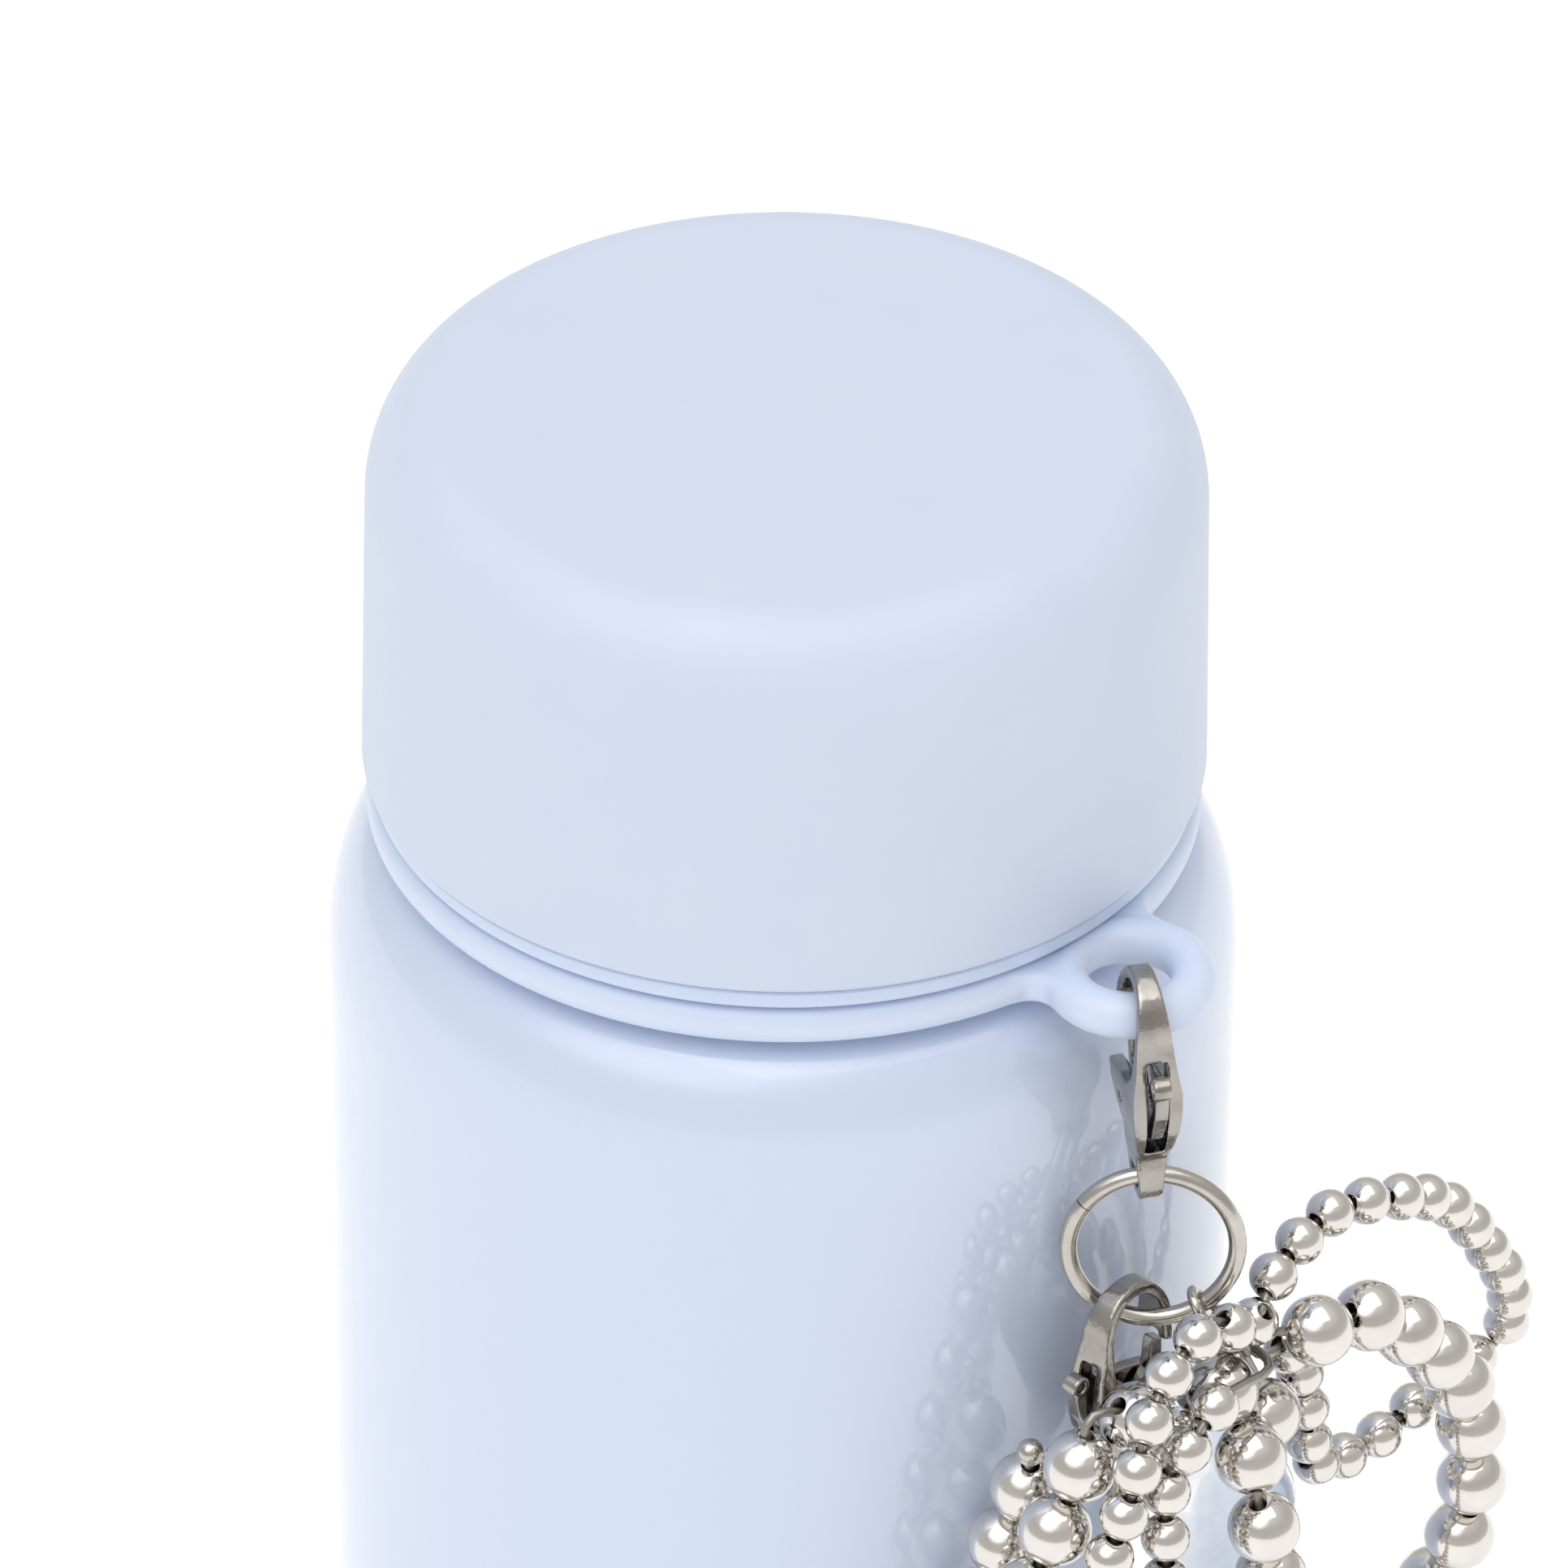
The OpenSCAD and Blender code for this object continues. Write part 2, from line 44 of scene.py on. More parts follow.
SEAT = 146.0
BODY_R = 38.1
NECK_R = 27.5
RIM_Z = 164.5
BORE_R = 28.95
SHOULDER_TOP = SEAT - 6.14
SHOULDER_A = BODY_R - 27.75
SHOULDER_B = 15.05
SHOULDER_POWER = 2.69
STEEL_WALL = 0.6
FLASK_WALL = 0.5
LEAD = 8.0
CAP_R = 35.0
CAP_TOP_R = 34.45
CAP_TOP = SEAT + 33.5
SMALL_D = 4.1
LARGE_D = 6.1
BEAD_GAP = 0.05
THREAD_D = 0.8
BORE_D = 1.5
CRIMP_R = 2.0
TAIL_R = 1.2
FRONT_START = 9.2
FRONT_STOP = 12.0
DRAPE_START = 7.2
LINK_SPOT = 35
LINK_HALF_WIDTH = 1.35
LINK_WIRE_R = 0.45
PIN_R = 0.4
RING_R = 6.95
RING_WIRE_R = 0.75
RING_TILT = math.radians(5)
RING_C = Vector((30.603, -32.039, 118.788))
GATHER = Vector((37.5, -29.5, 108.0))
TAIL = Vector((20.8, -39.0, 102.6))
DROP_C = Vector((35.5, -27.5, 87.0))
DROP_TOP = 12.4

# ---------- camera, as the picture was taken ----------

CAMERA_ELEVATION = math.radians(35.04)
CAMERA_DISTANCE = 0.941
CAMERA_AIM_Z = 0.1421
CAMERA_ROLL = math.radians(0.568)


def add_camera():
    data = bpy.data.cameras.new("camera")
    data.lens = 260.75
    data.sensor_width = 36.0
    data.clip_start = 0.05
    data.clip_end = 50.0
    camera = bpy.data.objects.new("camera", data)
    bpy.context.scene.collection.objects.link(camera)
    eye = Vector((0, -CAMERA_DISTANCE * math.cos(CAMERA_ELEVATION),
                  SEAT * MM + CAMERA_DISTANCE * math.sin(CAMERA_ELEVATION)))
    aim = Vector((0, 0, CAMERA_AIM_Z)) - eye
    turn = aim.to_track_quat("-Z", "Y").to_matrix().to_4x4()
    camera.matrix_world = (Matrix.Translation(eye) @ turn
                           @ Matrix.Rotation(CAMERA_ROLL, 4, "Z"))
    bpy.context.scene.camera = camera


add_camera()

# ---------- routes of the strands, as in the CAD source ----------

LOOP = [GATHER, (39.5, -32, 111.5), (41, -28.5, 113.5), (45.5, -22.5, 115), (51.5, -17.5, 113),
        (56, -12.5, 108.5), (59.5, -9.5, 102), (62, -6.5, 95), (61.5, -4.5, 88), (57.5, -9, 88),
        (52.5, -14.5, 87), (49, -17.5, 86), (45, -22, 88.5), (44.5, -23.5, 93),
        (43.5, -24.5, 100), (42, -26.5, 104), (40, -29.5, 105.5), GATHER]
DRAPE = [GATHER, (44.5, -30.5, 109), (49, -26.5, 107.5), (55, -21, 99.5), (58.5, -16.5, 89),
         (58.5, -16, 77), (54.5, -15.5, 67), (49, -24, 62.5), (44, -34, 67), (41.5, -37.5, 78),
         (41, -37.5, 90), (40, -38.5, 96), (39, -35.5, 101), (40.5, -29.5, 100.5), GATHER]
SIDE = [GATHER, (36.5, -34, 105), (32.5, -37, 102), (28.9, -39.8, 107.2), (25.5, -42, 108.5),
        (24.5, -43, 103), (20.5, -45.5, 92), (18, -46.5, 80), (16.5, -46.5, 74.5),
        (14, -43.5, 70), (12.5, -40.5, 74.5), (14, -40.5, 80.5), (18.5, -37.5, 91),
        (20.4, -37.2, 96.5), TAIL]
FRONT = [GATHER, (38.6, -33.4, 108.8), (37.4, -35.2, 112.6), (35.8, -36.6, 114.5),
         (33.8, -38.8, 113.8), (31.8, -41.4, 112.4), (30, -44.5, 109), (29, -46.5, 104.5),
         (27.2, -47.3, 98), (26, -47.5, 90), (26, -48, 82), (28.5, -48, 75.5), (31.5, -46.5, 79),
         (32, -45.5, 88), (32, -45, 96), (32, -43.5, 103), (34.3, -42.3, 107.1), (36.5, -39.5, 109),
         (40.5, -33.5, 107.5), GATHER]


class Strand:
    """A smooth curve through a route's points, with the length run up to each fine step."""

    def __init__(self, route, fine=12):
        route = [Vector(p) for p in route]
        n = len(route) - 1
        self.points = []
        for i in range(n * fine + 1):
            u = i / fine
            k = min(int(u), n - 1)
            t = u - k
            p1, p2 = route[k], route[k + 1]
            p0 = route[k - 1] if k > 0 else 2 * p1 - p2
            p3 = route[k + 2] if k < n - 1 else 2 * p2 - p1
            self.points.append(0.5 * (2 * p1 + (p2 - p0) * t
                                      + (2 * p0 - 5 * p1 + 4 * p2 - p3) * t * t
                                      + (3 * p1 - p0 - 3 * p2 + p3) * t * t * t))
        self.runs = [0.0]
        for a, b in zip(self.points, self.points[1:]):
            self.runs.append(self.runs[-1] + (b - a).length)
        self.total = self.runs[-1]

    def place(self, s):
        i = max([k for k in range(len(self.runs) - 1) if k == 0 or self.runs[k] <= s])
        t = (s - self.runs[i]) / (self.runs[i + 1] - self.runs[i])
        return self.points[i] + (self.points[i + 1] - self.points[i]) * t

    def heading(self, s):
        return (self.place(s + 0.5) - self.place(s - 0.5)).normalized()

    def stops(self, pitch, start, stop):
        """Lengths at which beads a straight pitch apart sit."""
        found = []
        s = start
        while s is not None and s <= self.total - stop:
            found.append(s)
            p = self.place(s)
            later = [k for k in range(1, len(self.runs))
                     if self.runs[k] > s and (self.points[k] - p).length >= pitch]
            if not later:
                break
            k = later[0]
            s0 = max(self.runs[k - 1], s)
            d0 = (self.place(s0) - p).length
            d1 = (self.points[k] - p).length
            s = s0 + (self.runs[k] - s0) * (pitch - d0) / (d1 - d0)
        return found


# ---------- materials ----------

def linear(r, g, b):
    return [(c / 255 / 12.92 if c <= 10 else ((c / 255 + 0.055) / 1.055) ** 2.4)
            for c in (r, g, b)] + [1.0]


class Paint:
    """A Principled material with procedural detail added step by step."""

    def __init__(self, name, color, roughness, **sockets):
        self.mat = bpy.data.materials.new(name)
        self.mat.use_nodes = True
        self.tree = self.mat.node_tree
        self.shader = self.tree.nodes["Principled BSDF"]
        self.color = color
        self.shader.inputs["Base Color"].default_value = color
        self.shader.inputs["Roughness"].default_value = roughness
        for key, value in sockets.items():
            self.shader.inputs[key.replace("_", " ")].default_value = value
        self.coords = self.tree.nodes.new("ShaderNodeTexCoord")
        self.normal = None

    def node(self, kind, **values):
        n = self.tree.nodes.new(kind)
        for key, value in values.items():
            n.inputs[key.replace("_", " ")].default_value = value
        return n

    def noise(self, size_mm, detail=3.0, stretch=None):
        """Noise with features of about that size."""
        n = self.node("ShaderNodeTexNoise", Scale=1000.0 / size_mm, Detail=detail)
        source = self.coords.outputs["Object"]
        if stretch:
            m = self.node("ShaderNodeMapping")
            m.inputs["Scale"].default_value = stretch
            self.tree.links.new(source, m.inputs["Vector"])
            source = m.outputs["Vector"]
        self.tree.links.new(source, n.inputs["Vector"])
        return n.outputs[0]

    def cells(self, size_mm):
        n = self.node("ShaderNodeTexVoronoi", Scale=1000.0 / size_mm)
        self.tree.links.new(self.coords.outputs["Object"], n.inputs["Vector"])
        return n.outputs["Color"]

    def spread(self, source, low, high, start=0.3, end=0.7):
        n = self.tree.nodes.new("ShaderNodeMapRange")
        n.inputs["From Min"].default_value = start
        n.inputs["From Max"].default_value = end
        n.inputs["To Min"].default_value = low
        n.inputs["To Max"].default_value = high
        self.tree.links.new(source, n.inputs["Value"])
        return n.outputs["Result"]

    def roughness(self, source, low, high):
        self.tree.links.new(self.spread(source, low, high), self.shader.inputs["Roughness"])
        return self

    def tint(self, source, other, low=0.0, high=1.0, start=0.3, end=0.7):
        """The colour goes towards another one where the pattern is bright."""
        mix = self.tree.nodes.new("ShaderNodeMix")
        mix.data_type = "RGBA"
        for socket in mix.inputs:
            if socket.type == "RGBA":
                socket.default_value = self.color if socket.identifier.startswith("A") else other
        self.tree.links.new(self.spread(source, low, high, start, end), mix.inputs["Factor"])
        result = [s for s in mix.outputs if s.type == "RGBA"][0]
        self.tree.links.new(result, self.shader.inputs["Base Color"])
        return self

    def bump(self, source, depth_mm, strength=1.0, coat=False):
        n = self.node("ShaderNodeBump", Strength=strength, Distance=depth_mm * MM)
        self.tree.links.new(source, n.inputs["Height"])
        if self.normal is not None:
            self.tree.links.new(self.normal, n.inputs["Normal"])
        self.normal = n.outputs["Normal"]
        self.tree.links.new(self.normal, self.shader.inputs["Normal"])
        if coat:
            self.tree.links.new(self.normal, self.shader.inputs["Coat Normal"])
        return self


def pearl_coat():
    p = Paint("pearl_coat", linear(205, 217, 240), 0.42, Metallic=0.05, Coat_Weight=1.0,
              Coat_Roughness=0.025, Coat_IOR=1.62)
    p.tint(p.cells(0.1), linear(215, 225, 244), 0.0, 0.3, 0.6, 1.0)
    p.roughness(p.noise(6.0), 0.4, 0.46)
    p.bump(p.noise(0.16, 2.0), 0.002)
    return p.mat


def cap_plastic():
    p = Paint("cap_plastic", linear(207, 217, 237), 0.42, Specular_IOR_Level=0.5)
    p.tint(p.noise(9.0), linear(212, 222, 240), 0.0, 0.5)
    p.roughness(p.noise(0.5), 0.4, 0.47)
    p.bump(p.noise(0.22, 3.0), 0.008)
    return p.mat


def lip_plastic():
    p = Paint("lip_plastic", linear(207, 221, 245), 0.3, Specular_IOR_Level=0.5)
    p.tint(p.noise(8.0), linear(211, 224, 246), 0.0, 0.5)
    p.roughness(p.noise(0.8), 0.27, 0.35)
    p.bump(p.noise(0.4, 2.0), 0.004)
    return p.mat


def blue_silicone():
    p = Paint("blue_silicone", linear(213, 225, 247), 0.34, Subsurface_Weight=0.12,
              Subsurface_Scale=0.0015)
    p.tint(p.noise(5.0), linear(216, 228, 248), 0.0, 0.6)
    p.roughness(p.noise(0.7), 0.3, 0.4)
    p.bump(p.noise(0.5, 3.0), 0.006)
    return p.mat


def clear_silicone():
    p = Paint("clear_silicone", linear(236, 239, 243), 0.4, Subsurface_Weight=0.2,
              Subsurface_Scale=0.001)
    p.tint(p.noise(3.0), linear(226, 231, 238))
    p.bump(p.noise(0.4), 0.01)
    return p.mat


def metal(name, color, rough, other, grain_mm=0.35, depth=0.003, stretch=None):
    p = Paint(name, color, rough, Metallic=1.0)
    p.tint(p.noise(2.5), other, 0.0, 0.7)
    p.roughness(p.noise(grain_mm, 3.0, stretch), rough * 0.75, rough * 1.3)
    p.bump(p.noise(grain_mm * 0.6, 2.0, stretch), depth)
    return p.mat


def foam():
    p = Paint("foam", linear(240, 240, 236), 0.9)
    p.tint(p.cells(0.8), linear(222, 222, 216), 0.0, 1.0, 0.2, 0.9)
    p.bump(p.noise(0.6, 4.0), 0.15)
    return p.mat


def clear_glass():
    p = Paint("clear_glass", linear(248, 250, 252), 0.02, Transmission_Weight=1.0, IOR=1.46)
    p.roughness(p.noise(3.0), 0.0, 0.05)
    p.bump(p.noise(4.0, 1.0), 0.02, 0.4)
    return p.mat


def solder():
    p = Paint("solder", linear(64, 70, 66), 0.25)
    p.tint(p.noise(1.0), linear(92, 98, 92))
    p.bump(p.noise(0.7), 0.02)
    return p.mat


PEARL = pearl_coat()
PLASTIC = cap_plastic()
LIP = lip_plastic()
SILICONE = blue_silicone()
GASKET = clear_silicone()
FOAM = foam()
GLASS = clear_glass()
SOLDER = solder()
BEAD = metal("bead_steel", linear(229, 225, 220), 0.11, linear(218, 213, 207), 0.4, 0.002)
CLASP = metal("clasp_steel", linear(178, 173, 168), 0.17, linear(140, 135, 130), 0.9, 0.03)
RING = metal("ring_steel", linear(204, 199, 192), 0.16, linear(180, 175, 168), 0.3, 0.005)
WIRE = metal("wire_steel", linear(176, 172, 166), 0.35, linear(150, 146, 140), 0.15, 0.01)
INNER = metal("inner_steel", linear(200, 200, 198), 0.28, linear(186, 186, 184), 0.5, 0.006,
              (1.0, 1.0, 12.0))
BARE = metal("getter_metal", linear(120, 120, 124), 0.6, linear(96, 96, 100), 0.6, 0.03)


# ---------- mesh helpers ----------

def paint(ob, mat):
    ob.data.materials.clear()
    ob.data.materials.append(mat)
    return ob


def soften(me, angle=40.0):
    """Smooth shading, with edges sharper than the angle kept crisp."""
    bm = bmesh.new()
    bm.from_mesh(me)
    bmesh.ops.remove_doubles(bm, verts=bm.verts, dist=1e-7)
    bmesh.ops.dissolve_degenerate(bm, edges=bm.edges, dist=1e-8)
    bmesh.ops.recalc_face_normals(bm, faces=bm.faces)
    for face in bm.faces:
        face.smooth = True
    for edge in bm.edges:
        if len(edge.link_faces) == 2:
            edge.smooth = edge.calc_face_angle(0.0) < math.radians(angle)
    bm.to_mesh(me)
    bm.free()


def piece(name, verts, faces, mat, body, nodes=(), angle=40.0):
    me = bpy.data.meshes.new(name)
    me.from_pydata([Vector(v) * MM for v in verts], [], faces)
    soften(me, angle)
    ob = bpy.data.objects.new(name, me)
    bpy.context.scene.collection.objects.link(ob)
    paint(ob, mat)
    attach(ob, body)
    if nodes:
        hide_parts(*nodes)
    return ob


def spow(v, p):
    return math.copysign(abs(v) ** p, v)


def curve(cx, cy, rx, ry, a0, a1, e=2.0, n=24):
    """Points of a superellipse arc, in degrees from a0 to a1."""
    found = []
    for i in range(n + 1):
        a = math.radians(a0 + (a1 - a0) * i / n)
        c, s = math.cos(a), math.sin(a)
        c = 0.0 if abs(c) < 1e-9 else c
        s = 0.0 if abs(s) < 1e-9 else s
        found.append((cx + rx * spow(c, 2 / e), cy + ry * spow(s, 2 / e)))
    return found


def lathe(profile, seg=192, matrix=None):
    """(verts, faces) of a closed profile of (r, z) turned about Z, put in place by a matrix."""
    verts, faces = [], []
    n = len(profile)
    for k in range(seg):
        a = 2 * math.pi * k / seg
        for r, z in profile:
            v = Vector((r * math.cos(a), r * math.sin(a), z))
            verts.append(matrix @ v if matrix else v)
    for k in range(seg):
        for i in range(n):
            j = (i + 1) % n
            if profile[i][0] == 0 and profile[j][0] == 0:
                continue
            m = (k + 1) % seg
            faces.append([k * n + i, m * n + i, m * n + j, k * n + j])
    return verts, faces


def joined(*parts):
    verts, faces = [], []
    for v, f in parts:
        faces += [[i + len(verts) for i in face] for face in f]
        verts += v
    return verts, faces


def sweep(points, radius, sides=16, closed=False):
    """(verts, faces) of a round tube along points."""
    n = len(points)
    verts, faces = [], []
    normal = None
    rings = []
    for i in range(n):
        if closed:
            d = points[(i + 1) % n] - points[i - 1]
        else:
            d = points[min(i + 1, n - 1)] - points[max(i - 1, 0)]
        d = d.normalized()
        if normal is None:
            normal = d.orthogonal()
        normal = (normal - d * normal.dot(d)).normalized()
        side = d.cross(normal)
        rings.append([points[i] + radius * (normal * math.cos(2 * math.pi * j / sides)
                                            + side * math.sin(2 * math.pi * j / sides))
                      for j in range(sides)])
    offset = min(range(sides), key=lambda k: (rings[0][k] - rings[-1][0]).length)
    for ring in rings:
        verts += ring
    for i in range(n if closed else n - 1):
        shift = offset if closed and i == n - 1 else 0
        m = (i + 1) % n
        for j in range(sides):
            k = (j + 1) % sides
            faces.append([i * sides + j, i * sides + k,
                          m * sides + (k + shift) % sides, m * sides + (j + shift) % sides])
    if not closed:
        faces.append(list(range(sides - 1, -1, -1)))
        faces.append([(n - 1) * sides + j for j in range(sides)])
    return verts, faces


def thread_ridge(r, depth, z0, turns, start, seg=72):
    """One helical ridge of trapezoid section that runs out at both ends."""
    steps = math.ceil(turns * seg)
    verts, faces = [], []
    for i in range(steps + 1):
        t = i / steps
        taper = max(0.03, min(1.0, 12 * min(t, 1 - t)))
        a = math.radians(start + 360 * turns * t)
        z = z0 + LEAD * turns * t
        crest = r + depth * taper
        crown = crest + math.copysign(0.05, depth) * taper
        for rr, zz in ((r, z - 0.88), (crest, z - 0.5), (crown, z), (crest, z + 0.5),
                       (r, z + 0.88)):
            verts.append(Vector((rr * math.cos(a), rr * math.sin(a), zz)))
    for i in range(steps):
        for j in range(5):
            k = (j + 1) % 5
            faces.append([5 * i + j, 5 * i + k, 5 * i + 5 + k, 5 * i + 5 + j])
    faces.append([0, 1, 2, 3, 4])
    faces.append([5 * steps + j for j in range(5)])
    return verts, faces


def refined(name, node, voxel_mm, rounds, mat, body):
    """A CAD piece with its facets and sharp joins melted into one smooth moulded or cast skin."""
    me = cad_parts[node].data.copy()
    bm = bmesh.new()
    bm.from_mesh(me)
    bmesh.ops.remove_doubles(bm, verts=bm.verts, dist=1e-7)
    bm.to_mesh(me)
    bm.free()
    raw = bpy.data.objects.new(name + "_raw", me)
    bpy.context.scene.collection.objects.link(raw)
    remesh = raw.modifiers.new("remesh", "REMESH")
    remesh.mode = "VOXEL"
    remesh.voxel_size = voxel_mm * MM
    smooth = raw.modifiers.new("smooth", "SMOOTH")
    smooth.factor = 0.5
    smooth.iterations = rounds
    graph = bpy.context.evaluated_depsgraph_get()
    graph.update()
    made = bpy.data.meshes.new_from_object(raw.evaluated_get(graph))
    bpy.data.objects.remove(raw)
    soften(made, 60.0)
    ob = bpy.data.objects.new(name, made)
    bpy.context.scene.collection.objects.link(ob)
    paint(ob, mat)
    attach(ob, body)
    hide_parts(node)
    return ob


# ---------- threads and beads ----------

def ring_point(degrees):
    """A point on the jump ring's centre line, by its angle from the bottom."""
    a = math.radians(degrees)
    return RING_C + RING_R * Vector((math.sin(a), -math.cos(a) * math.sin(RING_TILT),
                                     -math.cos(a) * math.cos(RING_TILT)))


BEAD_ROLL = 137.5
SEAM_DEPTH = 0.02


def bead_profile(d):
    """Section of a drilled ball with a small rounded lip at each end of the bore."""
    r, bore, lip = d / 2, BORE_D / 2, 0.1
    edge = math.degrees(math.asin((bore + lip) / r))
    outer = [(r * math.sin(math.radians(edge + (180 - 2 * edge) * i / 22)),
              -r * math.cos(math.radians(edge + (180 - 2 * edge) * i / 22))) for i in range(23)]
    top = outer[-1][1]
    return outer + [(bore + lip * 0.4, top), (bore, top - lip * 0.6), (bore, top * 0.4),
                    (bore, -top * 0.4), (bore, -top + lip * 0.6), (bore + lip * 0.4, -top)]


def add_beads(name, strand, d, start, stop, node):
    """Drilled balls in a row, each turned differently, with a faint seam down one side."""
    parts = []
    profile = bead_profile(d)
    for number, s in enumerate(strand.stops(d + BEAD_GAP, start, stop)):
        way = strand.heading(s)
        centre = strand.place(s)
        turn = way.to_track_quat("Z", "Y").to_matrix().to_4x4()
        roll = Matrix.Rotation(math.radians(BEAD_ROLL * number), 4, "Z")
        verts, faces = lathe(profile, 48, Matrix.Translation(centre) @ turn @ roll)
        for i in range(3, 20):
            verts[i] = centre + (verts[i] - centre) * (1 - SEAM_DEPTH / d)
        parts.append((verts, faces))
    verts, faces = joined(*parts)
    return piece(name, verts, faces, BEAD, "tassel", [node], 50.0)


def add_thread(name, strand, start, stop, node):
    count = 90
    length = strand.total - start - stop
    points = [strand.place(start + length * i / count) for i in range(count + 1)]
    data = bpy.data.curves.new(name, "CURVE")
    data.dimensions = "3D"
    spline = data.splines.new("POLY")
    spline.points.add(count)
    for p, q in zip(spline.points, points):
        p.co = (*(q * MM), 1.0)
    data.bevel_depth = THREAD_D / 2 * MM
    data.bevel_resolution = 3
    data.use_fill_caps = True
    ob = bpy.data.objects.new(name, data)
    bpy.context.scene.collection.objects.link(ob)
    data.materials.append(WIRE)
    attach(ob, "tassel")
    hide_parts(node)
    return ob


def crimp(name, centre, r, along, node):
    """A pinched crimp: a barrel with a dent round its middle and rounded ends."""
    profile = [(0.0, -r)]
    for i in range(1, 32):
        a = math.pi * i / 32
        dent = 1 - 0.08 * math.exp(-((a - math.pi / 2) / 0.16) ** 2)
        profile.append((r * 0.97 * math.sin(a) * dent, -r * math.cos(a)))
    profile.append((0.0, r))
    turn = along.normalized().to_track_quat("Z", "Y").to_matrix().to_4x4()
    verts, faces = lathe(profile, 48, Matrix.Translation(centre) @ turn)
    return piece(name, verts, faces, RING, "tassel", [node])


loop, drape, side, front = (Strand(r) for r in (LOOP, DRAPE, SIDE, FRONT))
loop_bare = CRIMP_R + SMALL_D / 2 + 0.1
side_bare = CRIMP_R + LARGE_D / 2 + 0.1
tail_bare = TAIL_R + LARGE_D / 2 + 0.1

loop_balls = add_beads("loop_balls", loop, SMALL_D, loop_bare, loop_bare, "loop_beads")
drape_balls = add_beads("drape_balls", drape, LARGE_D, DRAPE_START, side_bare,
                        "drape_beads")
side_balls = add_beads("side_balls", side, LARGE_D, side_bare, tail_bare, "side_beads")
front_balls = add_beads("front_balls", front, SMALL_D, FRONT_START, FRONT_STOP,
                        "front_beads")
tail_end = crimp("tail_stop", TAIL, TAIL_R, side.heading(side.total - 1.5), "tail_crimp")
# each thread's end sits a little inside its crimp
start = CRIMP_R - 0.05
add_thread("loop_cord", loop, start, start, "loop_thread")
add_thread("drape_cord", drape, start, start, "drape_thread")
add_thread("side_cord", side, start, TAIL_R - 0.05, "side_thread")
add_thread("front_cord", front, start, start, "front_thread")

# ---------- bottle ----------

def add_bottle():
    wall = STEEL_WALL
    outside = curve(BODY_R - SHOULDER_A, SHOULDER_TOP - SHOULDER_B, SHOULDER_A, SHOULDER_B,
                    0, 90, SHOULDER_POWER, 64)
    inside = curve(BODY_R - SHOULDER_A - wall, SHOULDER_TOP - SHOULDER_B - wall, SHOULDER_A,
                   SHOULDER_B, 0, 90, SHOULDER_POWER, 24)
    profile = [(BODY_R - 0.25, 2.2), (BODY_R, 2.5), (BODY_R, 30), (BODY_R, 80)] + outside + [
        (NECK_R, SHOULDER_TOP), (NECK_R, RIM_Z - 0.8), (NECK_R - wall, RIM_Z - 0.8)]
    profile += inside[::-1] + [(BODY_R - wall, 2.2)]
    ridges = [thread_ridge(NECK_R - 0.15, 1.12, SEAT + 4, 1.1, a) for a in (0, 180)]
    verts, faces = joined(lathe(profile), *ridges)
    piece("shell_skin", verts, faces, PEARL, "bottle", ["outer_shell"], 30.0)

    cover = [(0, 0.35), (10, 0.35), (11, 0), (BODY_R - 2.0, 0), (BODY_R - 1.0, 0.3),
             (BODY_R - 0.35, 0.9), (BODY_R, 1.5), (BODY_R, 2.0), (BODY_R - 0.2, 2.2),
             (BODY_R - wall, 2.2), (BODY_R - wall, 3), (BODY_R - wall - 1.2, 3),
             (BODY_R - wall - 1.2, 1.8), (0, 1.8)]
    verts, faces = lathe(cover)
    piece("base_skin", verts, faces, PEARL, "bottle", ["base_cover"], 30.0)


def add_cap():
    fit = 32.1
    shell = [(fit, SEAT)] + curve(CAP_R - 0.7, SEAT + 0.7, 0.7, 0.7, -90, 0, 2, 8)
    shell += curve(CAP_TOP_R - 6.25, CAP_TOP - 8.1, 6.25, 8.1, 0, 90, 2, 64)
    shell += [(20, CAP_TOP), (8, CAP_TOP), (0, CAP_TOP), (0, CAP_TOP - 2.4)]
    shell += curve(fit - 5, CAP_TOP - 8.9, 5, 6.5, 90, 0, 2, 16)
    verts, faces = lathe(shell)
    piece("cap_skin", verts, faces, PLASTIC, "cap", ["cap_shell"], 30.0)

    deck = RIM_Z + 2
    liner = [(BORE_R, SEAT - 2.06), (33.5, SEAT - 2.06)]
    liner += curve(33.6, SEAT - 1.36, 0.7, 0.7, -70, 0, 2, 8)
    liner += [(34.3, SEAT - 0.5), (34.2, SEAT - 0.36), (33.85, SEAT - 0.22), (33.8, SEAT),
              (fit, SEAT), (fit, deck + 2), (0, deck + 2), (0, deck),
              (22.8, deck), (22.8, SEAT + 10), (24.2, SEAT + 9.5), (25, SEAT + 10.3),
              (25, deck), (BORE_R, deck)]
    mid_gap = SEAT + 4 + LEAD * 60 / 360 - LEAD / 4
    ridges = [thread_ridge(BORE_R + 0.45, -1.45, mid_gap, 0.7, a) for a in (60, 240)]
    verts, faces = joined(lathe(liner), *ridges)
    piece("liner_skin", verts, faces, LIP, "cap", ["cap_liner"], 30.0)


